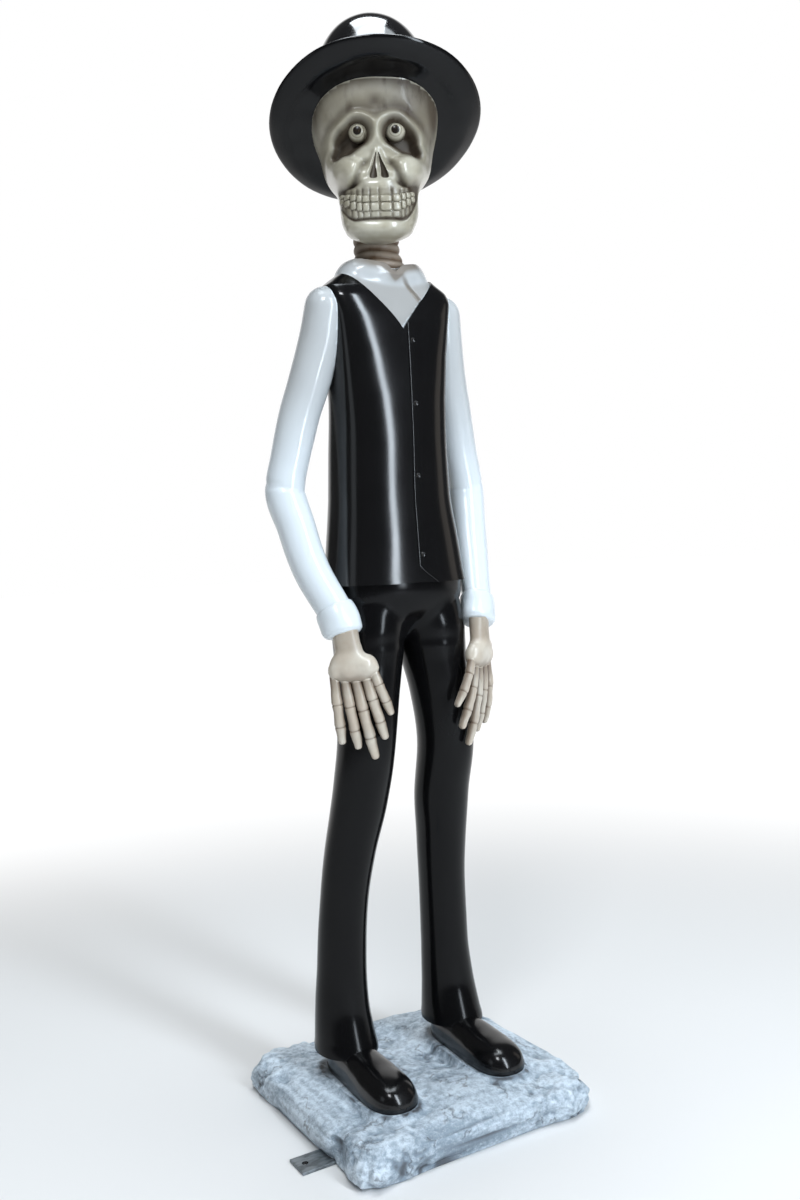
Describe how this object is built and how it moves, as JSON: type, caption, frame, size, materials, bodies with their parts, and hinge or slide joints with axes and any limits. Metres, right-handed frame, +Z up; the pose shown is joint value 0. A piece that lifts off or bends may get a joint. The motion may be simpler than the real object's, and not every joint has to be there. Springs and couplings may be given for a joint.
{
  "type": "skeleton figurine",
  "caption": "Standing skeleton figure in a brimmed hat, waistcoat and trousers, cast in one piece on a rock-like plinth with a fixing strap under it.",
  "frame": {"origin": "middle of the plinth's underside, on the floor", "axes": "+Z up; the figure's body faces -Y and its right hand is towards -X; the head is turned 27 degrees to its right"},
  "size_m": [0.5035, 0.4516, 1.8147],
  "materials": {
    "figure": "gloss",
    "plinth": "satin",
    "fixing_strap": "satin"
  },
  "bodies": {
    "root": {"figure": "figure", "plinth": "plinth", "fixing_strap": "fixing_strap"}
  },
  "joints": []
}
